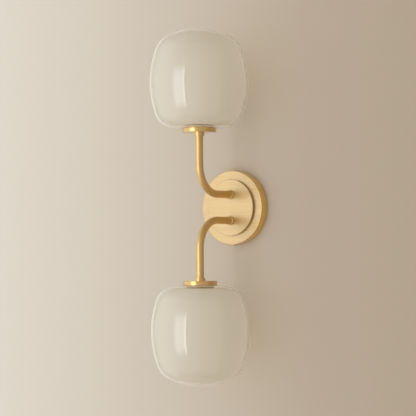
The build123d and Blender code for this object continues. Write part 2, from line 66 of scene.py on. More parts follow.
# The shade's outline is four arcs, each tangent to the next. The steps are straight pieces of each.
WIDEST_HEIGHT = 76.0 * MM
BASE_CORNER = 34.5 * MM
SIDE_ARC = 162.0 * MM
SHOULDER_ARC = 39.5 * MM
CAP_ARC = 117.0 * MM
BASE_STEPS = 16
SIDE_STEPS = 18
SHOULDER_STEPS = 14
CAP_STEPS = 12
SHADE_TURNS = 224
SHARP_ANGLE = math.radians(30)
ON_AXIS = 1e-7


# -------------------------------------------------------------------- geometry


def arc(centre, radius, start, end, steps):
    """Points of an arc in the plane of radius and height, angles in radians."""
    points = []
    for i in range(steps + 1):
        angle = start + (end - start) * i / steps
        out, up = radius * math.cos(angle), radius * math.sin(angle)
        points.append((centre[0] + out, centre[1] + up))
    return points


def shade_arcs(inset):
    """The shade's outline from its flat base to its tip, moved inward by inset."""
    side = (SHADE_RADIUS - SIDE_ARC, SHADE_BASE + WIDEST_HEIGHT)
    corner_z = SHADE_BASE + BASE_CORNER
    corner_reach = SIDE_ARC - BASE_CORNER
    corner = (side[0] + math.sqrt(corner_reach ** 2 - (corner_z - side[1]) ** 2), corner_z)
    cap = (0.0, SHADE_TOP - CAP_ARC)
    side_reach = SIDE_ARC - SHOULDER_ARC
    cap_reach = CAP_ARC - SHOULDER_ARC
    apart = math.hypot(side[0], cap[1] - side[1])
    along = (side_reach ** 2 - cap_reach ** 2 + apart ** 2) / (2 * apart)
    across = math.sqrt(side_reach ** 2 - along ** 2)
    unit = (-side[0] / apart, (cap[1] - side[1]) / apart)
    shoulder = (
        side[0] + along * unit[0] - across * unit[1],
        side[1] + along * unit[1] + across * unit[0],
    )
    corner_turn = math.atan2(corner[1] - side[1], corner[0] - side[0])
    shoulder_turn = math.atan2(shoulder[1] - side[1], shoulder[0] - side[0])
    cap_turn = math.atan2(shoulder[1] - cap[1], shoulder[0])
    return (
        arc(corner, BASE_CORNER - inset, -math.pi / 2, corner_turn, BASE_STEPS)
        + arc(side, SIDE_ARC - inset, corner_turn, shoulder_turn, SIDE_STEPS)[1:]
        + arc(shoulder, SHOULDER_ARC - inset, shoulder_turn, cap_turn, SHOULDER_STEPS)[1:]
        + arc(cap, CAP_ARC - inset, cap_turn, math.pi / 2, CAP_STEPS)[1:]
    )


def new_object(name, data, material=None):
    """Puts a mesh or a camera in the scene under a name, with a material where one is given."""
    piece = bpy.data.objects.new(name, data)
    if material:
        data.materials.append(material)
    bpy.context.scene.collection.objects.link(piece)
    return piece


def turned(name, outline, centre, material, side):
    """A solid of revolution about an upright axis, from a closed outline of (radius, height).
    Side is 1 to stand upright and -1 to hang."""
    mesh = bpy.data.meshes.new(name)
    bm = bmesh.new()
    rings = []
    for radius, height in outline:
        if radius < ON_AXIS:
            rings.append([bm.verts.new((centre[0], centre[1], side * height))])
            continue
        ring = []
        for i in range(SHADE_TURNS):
            angle = 2 * math.pi * i / SHADE_TURNS
            x = centre[0] + radius * math.cos(angle)
            y = centre[1] + radius * math.sin(angle)
            ring.append(bm.verts.new((x, y, side * height)))
        rings.append(ring)
    for ring, following in zip(rings, rings[1:] + rings[:1]):
        if len(ring) == 1 and len(following) == 1:
            continue
        for i in range(SHADE_TURNS):
            j = (i + 1) % SHADE_TURNS
            if len(ring) == 1:
                bm.faces.new((ring[0], following[j], following[i]))
            elif len(following) == 1:
                bm.faces.new((ring[i], ring[j], following[0]))
            else:
                bm.faces.new((ring[i], ring[j], following[j], following[i]))
    bmesh.ops.recalc_face_normals(bm, faces=bm.faces)
    bm.to_mesh(mesh)
    bm.free()
    mesh.shade_smooth()
    mesh.set_sharp_from_angle(angle=SHARP_ANGLE)
    return new_object(name, mesh, material)


# ------------------------------------------------------------------- materials


class Nodes:
    """Shorthand for a node tree: adds nodes, sets their inputs and links them."""

    def __init__(self, tree):
        self.tree = tree

    def add(self, kind, settings=None, **inputs):
        """A new node, with its settings and its inputs by name, a space written as _."""
        node = self.tree.nodes.new(kind)
        for key, value in (settings or {}).items():
            setattr(node, key, value)
        for key, value in inputs.items():
            self.put(node, key.replace("_", " "), value)
        return node

    def put(self, node, socket, value):
        """Gives an input a value, or links another node's output to it."""
        target = node.inputs[socket]
        if isinstance(value, bpy.types.NodeSocket):
            self.tree.links.new(value, target)
        else:
            target.default_value = value

    def math(self, operation, first, second=0.5):
        """Output of one sum on two numbers; a sum on one number ignores the second."""
        node = self.tree.nodes.new("ShaderNodeMath")
        node.operation = operation
        self.put(node, 0, first)
        self.put(node, 1, second)
        return node.outputs[0]

    def span(self, value, low, high, to_low=0.0, to_high=1.0):
        """The value moved from the span low to high into the span to_low to to_high."""
        node = self.add("ShaderNodeMapRange", Value=value, From_Min=low, From_Max=high)
        self.put(node, "To Min", to_low)
        self.put(node, "To Max", to_high)
        return node.outputs[0]

    def step(self, value, low, high):
        """Soft step from 0 at low to 1 at high."""
        smooth = {"interpolation_type": "SMOOTHSTEP"}
        node = self.add("ShaderNodeMapRange", smooth, Value=value, From_Min=low, From_Max=high)
        return node.outputs[0]

    def ramp(self, value, stops):
        """Colour ramp through stops of (place from 0 to 1, colour)."""
        node = self.tree.nodes.new("ShaderNodeValToRGB")
        self.put(node, "Fac", value)
        elements = node.color_ramp.elements
        elements.remove(elements[1])
        for i, (place, colour) in enumerate(stops):
            element = elements[0] if i == 0 else elements.new(place)
            element.position = place
            element.color = (*colour, 1)
        return node.outputs["Color"]

    def mix(self, factor, first, second, blend="MIX"):
        """The first colour at a factor of 0 and the second at 1. Colours are the node's inputs 6
        and 7 and its output 2."""
        node = self.add("ShaderNodeMix", {"data_type": "RGBA", "blend_type": blend})
        self.put(node, 0, factor)
        self.put(node, 6, first)
        self.put(node, 7, second)
        return node.outputs[2]

    def blend(self, share, first, second):
        """The first shader at a share of 0 and the second at 1."""
        node = self.add("ShaderNodeMixShader")
        for socket, value in enumerate((share, first, second)):
            self.put(node, socket, value)
        return node.outputs[0]

    def surface(self, shader):
        """Makes a shader the surface of this material."""
        self.put(self.tree.nodes["Material Output"], "Surface", shader)


def effect(name, inputs, outputs):
    """A new shader node group: the group, a helper for its nodes, its inputs as given, and its
    output node."""
    group = bpy.data.node_groups.new(name, "ShaderNodeTree")
    for label, kind, value in inputs:
        socket = group.interface.new_socket(label, in_out="INPUT", socket_type=kind)
        if value is not None:
            socket.default_value = value
    for label, kind in outputs:
        group.interface.new_socket(label, in_out="OUTPUT", socket_type=kind)
    start = group.nodes.new("NodeGroupInput")
    end = group.nodes.new("NodeGroupOutput")
    return group, Nodes(group), start.outputs, end


PATCH_SPAN = (0.35, 0.65)


def brushing_group():
    """Fine parallel brush lines with broader streaks between them, stretched along one axis."""
    group, nodes, given, end = effect(
        "brush lines",
        [
            ("Vector", "NodeSocketVector", None),
            ("Lines", "NodeSocketVector", (60.0, 2500.0, 2500.0)),
            ("Contrast", "NodeSocketFloat", 0.5),
        ],
        [(label, "NodeSocketFloat") for label in ("Lines", "Streaks", "Patches")],
    )
    stretched = nodes.add("ShaderNodeVectorMath", {"operation": "MULTIPLY"})
    nodes.put(stretched, 0, given["Vector"])
    nodes.put(stretched, 1, given["Lines"])
    fine = nodes.add(
        "ShaderNodeTexNoise", Vector=stretched.outputs[0], Scale=1.0, Detail=4.0, Roughness=0.65
    )
    broad = nodes.add(
        "ShaderNodeTexNoise", Vector=stretched.outputs[0], Scale=0.17, Detail=3.0, Roughness=0.6
    )
    cloud = nodes.add(
        "ShaderNodeTexNoise", Vector=given["Vector"], Scale=28.0, Detail=2.0, Roughness=0.5
    )
    low = nodes.math("SUBTRACT", 0.5, given["Contrast"])
    high = nodes.math("ADD", 0.5, given["Contrast"])
    nodes.put(end, "Lines", nodes.span(fine.outputs["Fac"], low, high))
    nodes.put(end, "Streaks", nodes.span(broad.outputs["Fac"], low, high))
    nodes.put(end, "Patches", nodes.span(cloud.outputs["Fac"], *PATCH_SPAN))
    return group


def around_axis(nodes, vector, centre):
    """Distance from an upright axis, the turn round it from -0.5 to 0.5, and the height along
    it."""
    moved = nodes.add("ShaderNodeVectorMath", {"operation": "SUBTRACT"})
    nodes.put(moved, 0, vector)
    nodes.put(moved, 1, centre)
    parts = nodes.add("ShaderNodeSeparateXYZ", Vector=moved.outputs[0]).outputs
    squares = nodes.math(
        "ADD",
        nodes.math("MULTIPLY", parts["X"], parts["X"]),
        nodes.math("MULTIPLY", parts["Y"], parts["Y"]),
    )
    turn = nodes.math("DIVIDE", nodes.math("ARCTAN2", parts["Y"], parts["X"]), 2 * math.pi)
    return nodes.math("SQRT", squares), turn, parts["Z"]


RING_WAVER = 6.0


def lathe_group():
    """Fine rings round an upright axis, as a lathe or a spinning brush leaves them."""
    group, nodes, given, end = effect(
        "lathe lines",
        [
            ("Vector", "NodeSocketVector", None),
            ("Centre", "NodeSocketVector", (0.0, 0.0, 0.0)),
            ("Fineness", "NodeSocketFloat", 2600.0),
            ("Contrast", "NodeSocketFloat", 0.3),
        ],
        [("Lines", "NodeSocketFloat"), ("Patches", "NodeSocketFloat")],
    )
    radius, turn, height = around_axis(nodes, given["Vector"], given["Centre"])
    rings = nodes.add("ShaderNodeCombineXYZ")
    nodes.put(rings, "X", nodes.math("MULTIPLY", radius, given["Fineness"]))
    nodes.put(rings, "Y", nodes.math("MULTIPLY", turn, RING_WAVER))
    nodes.put(rings, "Z", nodes.math("MULTIPLY", height, given["Fineness"]))
    fine = nodes.add("ShaderNodeTexNoise", Vector=rings.outputs[0], Scale=1.0, Detail=4.0)
    cloud = nodes.add("ShaderNodeTexNoise", Vector=given["Vector"], Scale=60.0, Detail=2.0)
    low = nodes.math("SUBTRACT", 0.5, given["Contrast"])
    high = nodes.math("ADD", 0.5, given["Contrast"])
    nodes.put(end, "Lines", nodes.span(fine.outputs["Fac"], low, high))
    nodes.put(end, "Patches", nodes.span(cloud.outputs["Fac"], *PATCH_SPAN))
    return group


def thread_group():
    """Relief of a screw thread round an upright axis: 0 in its root and 1 on its crest."""
    group, nodes, given, end = effect(
        "screw thread",
        [
            ("Vector", "NodeSocketVector", None),
            ("Centre", "NodeSocketVector", (0.0, 0.0, 0.0)),
            ("Pitch", "NodeSocketFloat", 0.001),
        ],
        [("Height", "NodeSocketFloat")],
    )
    turn, height = around_axis(nodes, given["Vector"], given["Centre"])[1:]
    along = nodes.math("ADD", nodes.math("DIVIDE", height, given["Pitch"]), turn)
    wave = nodes.math("ABSOLUTE", nodes.math("SUBTRACT", nodes.math("FRACT", along), 0.5))
    nodes.put(end, "Height", nodes.math("MULTIPLY", wave, 2.0))
    return group


BRUSHING = brushing_group()
LATHE = lathe_group()
THREAD = thread_group()
ARM_AXIS = (0.0, -ARM_REACH, 0.0)


def principled(name):
    """An empty material with its Principled BSDF and a node helper."""
    material = bpy.data.materials.new(name)
    material.use_nodes = True
    tree = material.node_tree
    return material, Nodes(tree), tree.nodes["Principled BSDF"]


def use_group(nodes, group, **inputs):
    """Outputs of a group used in a material, with its inputs by name."""
    node = nodes.tree.nodes.new("ShaderNodeGroup")
    node.node_tree = group
    for key, value in inputs.items():
        nodes.put(node, key, value)
    return node.outputs


SIDE_SPAN = (0.3, 0.8)
LINE_SHARE = 0.55
LINE_GLOSS = 0.05
SMUDGE_GLOSS = 0.02


def uneven(nodes, roughness, lines, patches):
    """Roughness that falls on the pale lines and drifts with the smudges."""
    spread = nodes.span(lines, 0.0, 1.0, roughness + LINE_GLOSS, roughness - LINE_GLOSS)
    smudge = nodes.span(patches, 0.0, 1.0, -SMUDGE_GLOSS, SMUDGE_GLOSS)
    return nodes.math("ADD", spread, smudge)


def lacquered(nodes, shader, colour, roughness, height, depth):
    """Sets a shader to satin metal under clear lacquer, with its scratches as bump."""
    bump = nodes.add("ShaderNodeBump", Strength=0.25, Distance=depth, Height=height)
    nodes.put(shader, "Base Color", colour)
    nodes.put(shader, "Roughness", roughness)
    nodes.put(shader, "Metallic", 1.0)
    nodes.put(shader, "Coat Weight", 1.0)
    nodes.put(shader, "Coat Roughness", 0.1)
    nodes.put(shader, "Normal", bump.outputs[0])


def satin_brass(name, lines, pale, deep, roughness, depth, side=None):
    """Brushed brass under clear lacquer. Lines is how fast the pattern changes along each axis,
    so the brush lines run along the one with the small number. Faces that don't look straight
    out of the wall or into it take the colour side, where it is given. This paints light into
    the brass: face and side are one metal, coloured apart for how light falls on each."""
    material, nodes, shader = principled(name)
    coordinates = nodes.add("ShaderNodeTexCoord").outputs
    brush = use_group(nodes, BRUSHING, Vector=coordinates["Object"], Lines=lines, Contrast=0.2)
    grain = nodes.math("MULTIPLY", brush["Lines"], LINE_SHARE)
    grain = nodes.math("ADD", grain, nodes.math("MULTIPLY", brush["Streaks"], 1 - LINE_SHARE))
    colour = nodes.mix(grain, (*deep, 1), (*pale, 1))
    # Painted light: sideways faces take their own tone of the same brass.
    if side:
        outward = nodes.add("ShaderNodeSeparateXYZ", Vector=coordinates["Normal"]).outputs["Y"]
        facing = nodes.span(nodes.math("ABSOLUTE", outward), *SIDE_SPAN)
        colour = nodes.mix(facing, (*side, 1), colour)
    gloss = uneven(nodes, roughness, grain, brush["Patches"])
    lacquered(nodes, shader, colour, gloss, brush["Lines"], depth)
    return material


def turned_brass(name, pale, deep, roughness, depth):
    """Brass turned on a lathe about the arm's upright line, under clear lacquer."""
    material, nodes, shader = principled(name)
    place = nodes.add("ShaderNodeTexCoord").outputs["Object"]
    rings = use_group(nodes, LATHE, Vector=place, Centre=ARM_AXIS, Contrast=0.22)
    colour = nodes.mix(rings["Lines"], (*deep, 1), (*pale, 1))
    gloss = uneven(nodes, roughness, rings["Lines"], rings["Patches"])
    lacquered(nodes, shader, colour, gloss, rings["Lines"], depth)
    return material


PLATE_PALE = (0.70, 0.515, 0.265)
PLATE_DEEP = (0.565, 0.395, 0.185)
GOLD_PALE = (0.725, 0.48, 0.17)
GOLD_DEEP = (0.62, 0.405, 0.14)
# The dish's face takes the paler plate tones and its rim this deeper gold, one brass coloured
# apart: the face's paleness is painted reflection of the bright light on it.
RIM_GOLD = (0.88, 0.60, 0.17)
# Painted shade: the raised disc's step is coloured dark brown where it lies in shade, beside the
# disc's paler face.
STEP_PAINTED_SHADE = (0.42, 0.27, 0.10)
ACROSS_X = (50, 2600, 2600)
ALONG_Z = (2600, 2600, 50)
PLATE_DEPTH = 0.02 * MM
GOLD_DEPTH = 0.01 * MM
PLATE_TONES = (PLATE_PALE, PLATE_DEEP)
GOLD_TONES = (GOLD_PALE, GOLD_DEEP)
PLATE_BRASS = satin_brass("satin_brass_dish", ACROSS_X, *PLATE_TONES, 0.42, PLATE_DEPTH, RIM_GOLD)
DISC_BRASS = satin_brass("satin_brass_face", ACROSS_X, *PLATE_TONES, 0.38, PLATE_DEPTH, STEP_PAINTED_SHADE)
TUBE_BRASS = satin_brass("satin_brass_tube", ALONG_Z, *GOLD_TONES, 0.39, GOLD_DEPTH)
FERRULE_BRASS = satin_brass("satin_brass_ferrule", ACROSS_X, *GOLD_TONES, 0.24, GOLD_DEPTH)
SCREW_BRASS = satin_brass("satin_brass_screw", ALONG_Z, *GOLD_TONES, 0.30, GOLD_DEPTH)
COLLAR_BRASS = turned_brass("turned_brass_collar", *GOLD_TONES, 0.28, GOLD_DEPTH)
FITTER_BRASS = turned_brass("turned_brass_disc", *GOLD_TONES, 0.26, GOLD_DEPTH)


def upright(nodes, place, axis):
    """Object coordinates turned so that the piece's own axis, Y or Z, stands upright."""
    if axis == "Z":
        return place
    parts = nodes.add("ShaderNodeSeparateXYZ", Vector=place).outputs
    return nodes.add("ShaderNodeCombineXYZ", X=parts["X"], Y=parts["Z"], Z=parts["Y"]).outputs[0]


STAIN_TONE = 0.82
STAIN_SPAN = (0.4, 0.7)
STAIN_SHARE = 0.25
FLECK_SPAN = (0.3, 0.7)
FLECK_DEPTH = 0.02 * MM
THREAD_ROOT_SHADE = 0.45


def plain(name, colour, roughness, metallic=0.0, grain=0.0, thread=None, fleck=900.0):
    """A painted, plated or moulded finish: fine flecks in colour, gloss and relief, broad stains
    in colour, and, where thread gives (axis, centre, pitch, depth), a screw thread whose roots
    are darkened as painted shade."""
    material, nodes, shader = principled(name)
    place = nodes.add("ShaderNodeTexCoord").outputs["Object"]
    noise = nodes.add("ShaderNodeTexNoise", Vector=place, Scale=fleck, Detail=3.0).outputs["Fac"]
    cloud = nodes.add("ShaderNodeTexNoise", Vector=place, Scale=70.0, Detail=2.0).outputs["Fac"]
    darker = tuple(c * STAIN_TONE for c in colour)
    fleck_colour = nodes.mix(noise, (*darker, 1), (*colour, 1))
    stain = nodes.span(cloud, *STAIN_SPAN, 0.0, STAIN_SHARE)
    stain_and_thread_shade = nodes.mix(stain, fleck_colour, (*darker, 1))
    spread = nodes.span(noise, *FLECK_SPAN, roughness - grain, roughness + grain)
    bump = nodes.add("ShaderNodeBump", Strength=0.1, Distance=FLECK_DEPTH, Height=noise)
    if thread:
        axis, centre, pitch, depth = thread
        turned_place = upright(nodes, place, axis)
        crest = use_group(nodes, THREAD, Vector=turned_place, Centre=centre, Pitch=pitch)["Height"]
        # Painted shade: the thread's roots are coloured darker than its crests.
        root = tuple(c * THREAD_ROOT_SHADE for c in colour)
        stain_and_thread_shade = nodes.mix(nodes.span(crest, 0.0, 0.5), (*root, 1), stain_and_thread_shade)
        cut = nodes.add("ShaderNodeBump", Strength=1.0, Distance=depth, Height=crest)
        nodes.put(cut, "Normal", bump.outputs[0])
        bump = cut
    nodes.put(shader, "Base Color", stain_and_thread_shade)
    nodes.put(shader, "Roughness", spread)
    nodes.put(shader, "Metallic", metallic)
    nodes.put(shader, "Normal", bump.outputs[0])
    return material


ARM_LEVEL = 22.1 * MM
SHADE_THREAD = ("Z", ARM_AXIS, 2.0 * MM, 0.5 * MM)
NIPPLE_THREAD = ("Z", ARM_AXIS, 1.0 * MM, 0.4 * MM)
LAMP_THREAD = ("Z", ARM_AXIS, 2.2 * MM, 0.7 * MM)
PLATE_THREADS = {
    side_name: ("Y", (0.0, side * ARM_LEVEL, 0.0), 1.0 * MM, 0.4 * MM)
    for side_name, side in SIDES
}
CROSSBAR_ZINC = plain("zinc_plated_crossbar", (0.62, 0.62, 0.58), 0.34, 1.0, 0.08)
NUT_ZINC = plain("zinc_plated_nut", (0.66, 0.65, 0.60), 0.3, 1.0, 0.06, fleck=1400.0)
WASHER_ZINC = plain("zinc_plated_washer", (0.58, 0.58, 0.56), 0.4, 1.0, 0.08, fleck=1100.0)
PLATE_NIPPLES = {
    side_name: plain(f"threaded_steel_{side_name}", (0.60, 0.60, 0.57), 0.3, 1.0, 0.06, thread)
    for side_name, thread in PLATE_THREADS.items()
}
HOLDER_NIPPLE = plain("threaded_steel_holder", (0.60, 0.60, 0.57), 0.3, 1.0, 0.06, NIPPLE_THREAD)
GALLERY_BRASS = plain("threaded_brass_gallery", (0.66, 0.50, 0.27), 0.4, 1.0, 0.05, SHADE_THREAD)
RING_BRASS = plain("threaded_brass_ring", (0.68, 0.53, 0.30), 0.42, 1.0, 0.05, SHADE_THREAD)
SHELL_BRASS = plain("threaded_brass_shell", (0.80, 0.62, 0.32), 0.28, 1.0, 0.05, LAMP_THREAD)
CONTACT_BRASS = plain("bare_brass_contact", (0.80, 0.62, 0.32), 0.28, 1.0, 0.05)
LAMP_CAP = plain("nickel_lamp_cap", (0.72, 0.71, 0.68), 0.25, 1.0, 0.05, LAMP_THREAD)
PORCELAIN = plain("white_porcelain", (0.88, 0.86, 0.80), 0.18, 0.0, 0.03, fleck=400.0)
SILICONE = plain("clear_silicone", (0.72, 0.68, 0.58), 0.45, 0.0, 0.05, fleck=600.0)
BLACK_WIRE = plain("black_insulation", (0.02, 0.02, 0.02), 0.4, 0.0, 0.05)
WHITE_WIRE = plain("white_insulation", (0.80, 0.79, 0.76), 0.4, 0.0, 0.05)
GREEN_WIRE = plain("green_insulation", (0.03, 0.27, 0.08), 0.4, 0.0, 0.05)
GREEN_ZINC = plain("green_earth_screw", (0.04, 0.30, 0.10), 0.3, 0.7, 0.05, fleck=1200.0)
CONNECTOR = plain("orange_connector", (0.80, 0.30, 0.05), 0.42, 0.0, 0.05, fleck=1600.0)


RIM_COLOUR = (0.93, 0.91, 0.84)
RIM_INNER = 0.66
RIM_OUTER = 0.84
RIM_HAZE = 0.55
OPAL_DEEP = (0.875, 0.83, 0.755)
OPAL_PALE = (0.915, 0.87, 0.80)
OPAL_GLOW = 0.52
OPAL_PASS = 0.965


def casing_material():
    """Clear glass over the lining, seen straight through as a thin pane is, with a faint milky
    rim. Light and soft rays pass it, so it casts no hard shade."""
    material, nodes, shader = principled("clear_glass_casing")
    nodes.put(shader, "Base Color", (0.985, 0.985, 0.955, 1))
    nodes.put(shader, "Roughness", 0.0)
    nodes.put(shader, "Transmission Weight", 1.0)
    nodes.put(shader, "IOR", 1.0)
    inner_face = nodes.add("ShaderNodeNewGeometry").outputs["Backfacing"]
    outer_face = nodes.math("SUBTRACT", 1.0, inner_face)
    nodes.put(shader, "Coat Weight", outer_face)
    nodes.put(shader, "Coat Roughness", 0.015)
    nodes.put(shader, "Coat IOR", 1.75)
    facing = nodes.add("ShaderNodeLayerWeight", Blend=0.5).outputs["Facing"]
    haze = nodes.add("ShaderNodeBsdfDiffuse", Color=(*RIM_COLOUR, 1))
    haze_share = nodes.span(facing, RIM_INNER, RIM_OUTER, 0.0, RIM_HAZE)
    outer_haze = nodes.math("MULTIPLY", haze_share, outer_face)
    rim = nodes.blend(outer_haze, shader.outputs[0], haze.outputs[0])
    path = nodes.add("ShaderNodeLightPath").outputs
    clear = nodes.add("ShaderNodeBsdfTransparent", Color=(0.995, 0.995, 0.98, 1))
    straight = nodes.math("MAXIMUM", path["Is Shadow Ray"], path["Is Diffuse Ray"])
    nodes.surface(nodes.blend(straight, rim, clear.outputs[0]))
    return material


def lining_material():
    """Thin opal layer inside the clear glass: it glows with the light from behind it, and lets
    through most of the light that would make a shadow."""
    material, nodes, shader = principled("opal_cream_lining")
    place = nodes.add("ShaderNodeTexCoord").outputs["Object"]
    cloud = nodes.add("ShaderNodeTexNoise", Vector=place, Scale=9.0, Detail=2.0)
    colour = nodes.mix(cloud.outputs["Fac"], (*OPAL_DEEP, 1), (*OPAL_PALE, 1))
    nodes.put(shader, "Base Color", colour)
    nodes.put(shader, "Roughness", 0.5)
    nodes.put(shader, "Specular IOR Level", 0.2)
    glow = nodes.add("ShaderNodeBsdfTranslucent", Color=colour)
    milky = nodes.blend(OPAL_GLOW, shader.outputs[0], glow.outputs[0])
    path = nodes.add("ShaderNodeLightPath").outputs
    soft = nodes.math("MAXIMUM", path["Is Shadow Ray"], path["Is Diffuse Ray"])
    clear = nodes.add("ShaderNodeBsdfTransparent", Color=(1.0, 0.99, 0.97, 1))
    passing = nodes.math("MULTIPLY", soft, OPAL_PASS)
    nodes.surface(nodes.blend(passing, milky, clear.outputs[0]))
    return material


CLEAR_CASING = casing_material()
OPAL_LINING = lining_material()


def lamp_material():
    """Frosted glass of the lamps, which stay unlit."""
    material, nodes, shader = principled("frosted_lamp_glass")
    nodes.put(shader, "Base Color", (0.85, 0.84, 0.80, 1))
    nodes.put(shader, "Roughness", 0.45)
    nodes.put(shader, "Transmission Weight", 0.3)
    return material


LAMP_GLASS = lamp_material()

# --------------------------------------------------------- finishes of the frame

NODE_FINISH = {
    "backplate_dish": PLATE_BRASS,
    "backplate_face_disc": DISC_BRASS,
    "mounting_crossbar": CROSSBAR_ZINC,
    "canopy_side_screws": SCREW_BRASS,
    "ground_screw": GREEN_ZINC,
    "ground_wire": GREEN_WIRE,
    "wire_connectors": CONNECTOR,
    "arm_tube": TUBE_BRASS,
    "arm_ferrule": FERRULE_BRASS,
    "upper_arm_nipple": PLATE_NIPPLES["upper"],
    "lower_arm_nipple": PLATE_NIPPLES["lower"],
    "arm_washer": WASHER_ZINC,
    "arm_nut": NUT_ZINC,
    "arm_collar": COLLAR_BRASS,
    "fitter_disc": FITTER_BRASS,
    "fitter_nut": NUT_ZINC,
    "holder_nipple": HOLDER_NIPPLE,
    "shade_gallery": GALLERY_BRASS,
    "shade_gasket": SILICONE,
    "shade_screw_ring": RING_BRASS,
    "lampholder_body": PORCELAIN,
    "lampholder_shell": SHELL_BRASS,
    "lampholder_contact": CONTACT_BRASS,
    "lamp_cap": LAMP_CAP,
    "lamp_glass": LAMP_GLASS,
    "live_lead": BLACK_WIRE,
    "neutral_lead": WHITE_WIRE,
}

for node_name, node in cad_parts.items():
    short = node_name.removeprefix("upper_").removeprefix("lower_")
    finish = NODE_FINISH.get(node_name) or NODE_FINISH.get(short)
    if finish:
        for material_slot in node.material_slots:
            material_slot.material = finish

# ---------------------------------------------------------------------- shades

GLASS_ZONES = ("base", "side", "crown")
arm_line = (0.0, -ARM_REACH)
opal_outer = CASING + LINING_GAP
for side_name, side in SIDES:
    casing_outline = (
        [(SHADE_MOUTH, SHADE_BASE)]
        + shade_arcs(0.0)
        + list(reversed(shade_arcs(CASING)))
        + [(SHADE_MOUTH, SHADE_BASE + CASING)]
    )
    casing = turned(f"{side_name}_shade_casing", casing_outline, arm_line, CLEAR_CASING, side)
    lining_outline = (
        [(SHADE_MOUTH, SHADE_BASE + opal_outer)]
        + shade_arcs(opal_outer)
        + list(reversed(shade_arcs(SHADE_WALL)))
        + [(SHADE_MOUTH, SHADE_BASE + SHADE_WALL)]
    )
    lining = turned(f"{side_name}_shade_lining", lining_outline, arm_line, OPAL_LINING, side)
    for layer in (casing, lining):
        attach(layer, f"{side_name}_shade")
        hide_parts(*[f"{side_name}_shade_glass_{zone}" for zone in GLASS_ZONES])

# ----------------------------------------------------------- wire connectors' ribs


RIB_SIDES = 12


def rib_tree():
    """Geometry Nodes: grip ribs set round a cone, then turned and moved to their connector.
    Also gives each input's identifier by its label."""
    tree = bpy.data.node_groups.new("grip ribs", "GeometryNodeTree")
    inputs = {}
    for label, kind in (
        ("Count", "Int"),
        ("Radius", "Float"),
        ("Length", "Float"),
        ("Rib radius", "Float"),
        ("Lean", "Vector"),
        ("Turn", "Vector"),
        ("Place", "Vector"),
        ("Finish", "Material"),
    ):
        socket = tree.interface.new_socket(label, in_out="INPUT", socket_type=f"NodeSocket{kind}")
        inputs[label] = socket.identifier
    tree.interface.new_socket("Geometry", in_out="OUTPUT", socket_type="NodeSocketGeometry")
    nodes = Nodes(tree)
    given = nodes.add("NodeGroupInput").outputs
    rib = nodes.add("GeometryNodeMeshCylinder", Vertices=RIB_SIDES)
    nodes.put(rib, "Radius", given["Rib radius"])
    nodes.put(rib, "Depth", given["Length"])
    leaning = nodes.add("GeometryNodeTransform", Geometry=rib.outputs["Mesh"])
    nodes.put(leaning, "Rotation", given["Lean"])
    circle = nodes.add("GeometryNodeMeshCircle", Vertices=given["Count"], Radius=given["Radius"])
    share = nodes.math("DIVIDE", nodes.add("GeometryNodeInputIndex").outputs[0], given["Count"])
    turn = nodes.add("ShaderNodeCombineXYZ", Z=nodes.math("MULTIPLY", share, 2 * math.pi))
    ring = nodes.add(
        "GeometryNodeInstanceOnPoints",
        Points=circle.outputs[0],
        Instance=leaning.outputs[0],
        Rotation=turn.outputs[0],
    )
    real = nodes.add("GeometryNodeRealizeInstances", Geometry=ring.outputs[0])
    placed = nodes.add("GeometryNodeTransform", Geometry=real.outputs[0])
    nodes.put(placed, "Rotation", given["Turn"])
    nodes.put(placed, "Translation", given["Place"])
    finished = nodes.add("GeometryNodeSetMaterial", Geometry=placed.outputs[0])
    nodes.put(finished, "Material", given["Finish"])
    nodes.add("NodeGroupOutput", Geometry=finished.outputs[0])
    return tree, inputs


# The connectors stand where the model has them: each cone starts at its reach from the middle
# and narrows outward.
RIB_COUNT = 14
RIB_RADIUS = 0.42 * MM
RIB_LENGTH = 13.0 * MM
RIB_MIDDLE = 10.0 * MM
CONE_MOUTH = 5.5 * MM
CONE_TAPER = math.radians(4)
CONNECTOR_LEVEL = -6.8 * MM
CONNECTOR_REACH = 11.0 * MM
GROUND_REACH = 20.0 * MM
GROUND_DROP = 18.0 * MM
RIB_SHARP_ANGLE = math.radians(40)
RIB_TREE, RIB_INPUTS = rib_tree()

for wire, way, reach, height in (
    ("live", 1, CONNECTOR_REACH, 0.0),
    ("neutral", -1, CONNECTOR_REACH, 0.0),
    ("ground", 1, GROUND_REACH, -GROUND_DROP),
):
    carrier = new_object(f"{wire}_rib_carrier", bpy.data.meshes.new("ribs"))
    modifier = carrier.modifiers.new("ribs", "NODES")
    modifier.node_group = RIB_TREE
    for label, value in (
        ("Count", RIB_COUNT),
        ("Radius", CONE_MOUTH - RIB_MIDDLE * math.tan(CONE_TAPER)),
        ("Length", RIB_LENGTH),
        ("Rib radius", RIB_RADIUS),
        ("Lean", (0.0, -CONE_TAPER, 0.0)),
        ("Turn", (0.0, way * math.pi / 2, 0.0)),
        ("Place", (way * (reach + RIB_MIDDLE), CONNECTOR_LEVEL, height)),
        ("Finish", CONNECTOR),
    ):
        modifier[RIB_INPUTS[label]] = value
    evaluated = carrier.evaluated_get(bpy.context.evaluated_depsgraph_get())
    rib_mesh = bpy.data.meshes.new_from_object(evaluated)
    rib_mesh.shade_smooth()
    rib_mesh.set_sharp_from_angle(angle=RIB_SHARP_ANGLE)
    bpy.data.objects.remove(carrier)
    ribs = new_object(f"{wire}_connector_ribs", rib_mesh)
    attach(ribs, "fixture")

# ------------------------------------------------------------------ wall, floor


def edge_reach(low, high, share):
    """How far along a line the edge at low or high is, for the share of the line on that axis."""
    if abs(share) < NO_SHARE:
        return math.inf
    return (high if share > 0 else low) / share


